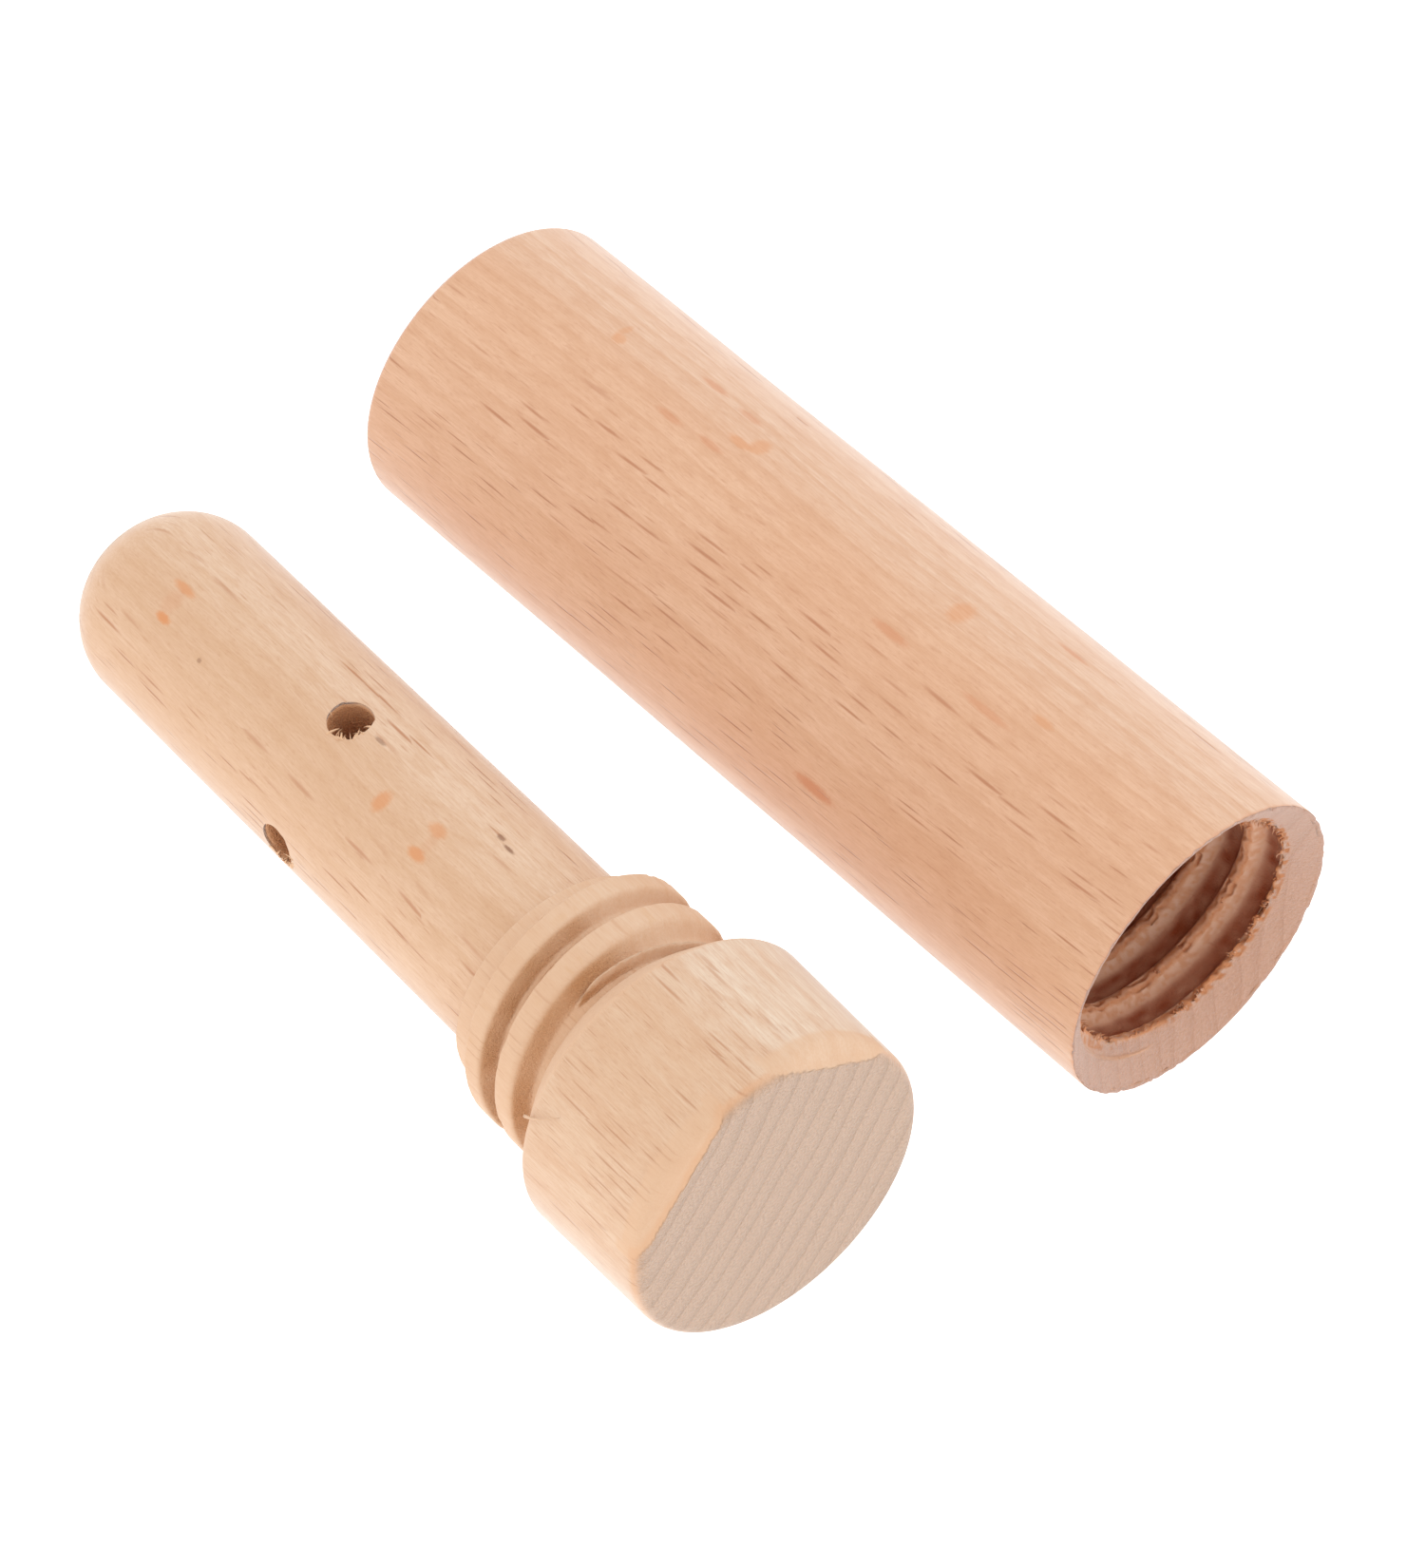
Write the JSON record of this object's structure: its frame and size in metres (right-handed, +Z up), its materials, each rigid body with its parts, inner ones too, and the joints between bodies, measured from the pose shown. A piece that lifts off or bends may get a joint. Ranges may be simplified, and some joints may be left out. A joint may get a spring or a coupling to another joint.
{
  "type": "needle case",
  "caption": "Turned wooden needle case lying open: a tube with a threaded mouth, and a screw stopper carrying a cross-drilled thread spindle.",
  "frame": {"origin": "on the surface the case lies on, under the middle of the box round both laid-apart halves", "axes": "+Z up from the surface; +X along the tube's axis, the way its mouth faces; +Y from the stopper across to the tube"},
  "size_m": [0.0844, 0.0622, 0.0258],
  "materials": {
    "case_beech": "bare sanded beech, matte, pinkish",
    "stopper_beech": "bare turned beech, matte",
    "spindle_beech": "bare beech dowel, matte"
  },
  "bodies": {
    "case": {"case_tube": "case_beech"},
    "screw_stopper": {"stopper": "stopper_beech", "spindle": "spindle_beech"}
  },
  "joints": [
    {"name": "stopper_turn", "type": "hinge", "parent": "case", "child": "screw_stopper", "pos_m": [0.03848, -0.0188, 0.01356], "axis": [-0.9946, 0.0713, -0.0752], "range_deg": [0, 936]}
  ]
}
